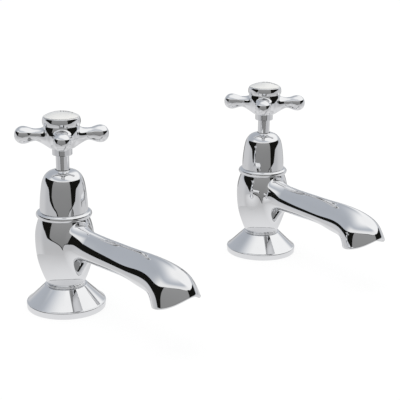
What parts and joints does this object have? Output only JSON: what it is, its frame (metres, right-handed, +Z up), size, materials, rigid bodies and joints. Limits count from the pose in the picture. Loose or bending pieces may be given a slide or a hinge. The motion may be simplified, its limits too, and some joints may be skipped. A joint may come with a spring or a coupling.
{
  "type": "pair of bath pillar taps",
  "caption": "Pair of chrome bath pillar taps with cross handles, domed white indices, bell covers, vase bodies and turned-down duck-bill spouts.",
  "frame": {"origin": "on the deck surface, midway between the axes of the two taps", "axes": "+Z up along the taps, +X from the hot tap to the cold tap, spouts towards -Y"},
  "size_m": [0.2325, 0.1487, 0.1774],
  "materials": {
    "chrome": "polished",
    "brass": "machined",
    "rubber": "matte",
    "fibre": "matte",
    "packing": "matte",
    "bush_plastic": "matte",
    "steel": "bright",
    "ceramic": "glossy"
  },
  "bodies": {
    "fixed": {"hot_base_flange": "chrome", "hot_deck_gasket": "rubber", "hot_threaded_tail": "brass", "hot_under_deck_washer": "fibre", "hot_backnut": "brass", "hot_spout_body": "chrome", "hot_seat_bush": "brass", "hot_headgear_washer": "fibre", "hot_headgear": "brass", "hot_gland_packing": "packing", "hot_gland_nut": "brass", "hot_collar_ring": "chrome", "hot_bell_cover": "chrome", "cold_base_flange": "chrome", "cold_deck_gasket": "rubber", "cold_threaded_tail": "brass", "cold_under_deck_washer": "fibre", "cold_backnut": "brass", "cold_spout_body": "chrome", "cold_seat_bush": "brass", "cold_headgear_washer": "fibre", "cold_headgear": "brass", "cold_gland_packing": "packing", "cold_gland_nut": "brass", "cold_collar_ring": "chrome", "cold_bell_cover": "chrome"},
    "hot_valve": {"hot_jumper": "brass", "hot_jumper_washer": "rubber", "hot_washer_nut": "brass"},
    "hot_handle": {"hot_spindle": "chrome", "hot_cross_handle": "chrome", "hot_handle_bush": "bush_plastic", "hot_handle_screw": "steel", "hot_index_rim": "chrome", "hot_index_disc": "ceramic"},
    "cold_valve": {"cold_jumper": "brass", "cold_jumper_washer": "rubber", "cold_washer_nut": "brass"},
    "cold_handle": {"cold_spindle": "chrome", "cold_cross_handle": "chrome", "cold_handle_bush": "bush_plastic", "cold_handle_screw": "steel", "cold_index_rim": "chrome", "cold_index_disc": "ceramic"}
  },
  "joints": [
    {"name": "hot_valve_lift", "type": "slide", "parent": "fixed", "child": "hot_valve", "axis": [0, 0, 1], "range_m": [0, 0.0065]},
    {"name": "hot_handle_turn", "type": "hinge", "parent": "hot_valve", "child": "hot_handle", "pos_m": [-0.09, 0, 0.1], "axis": [0, 0, 1], "range_deg": [0, 937]},
    {"name": "cold_valve_lift", "type": "slide", "parent": "fixed", "child": "cold_valve", "axis": [0, 0, 1], "range_m": [0, 0.0065]},
    {"name": "cold_handle_turn", "type": "hinge", "parent": "cold_valve", "child": "cold_handle", "pos_m": [0.09, 0, 0.1], "axis": [0, 0, 1], "range_deg": [0, 937]}
  ],
  "couplings": [
    {"joint": "hot_handle_turn", "follows": "hot_valve_lift", "rad_per_m": 2513.3},
    {"joint": "cold_handle_turn", "follows": "cold_valve_lift", "rad_per_m": 2513.3}
  ]
}
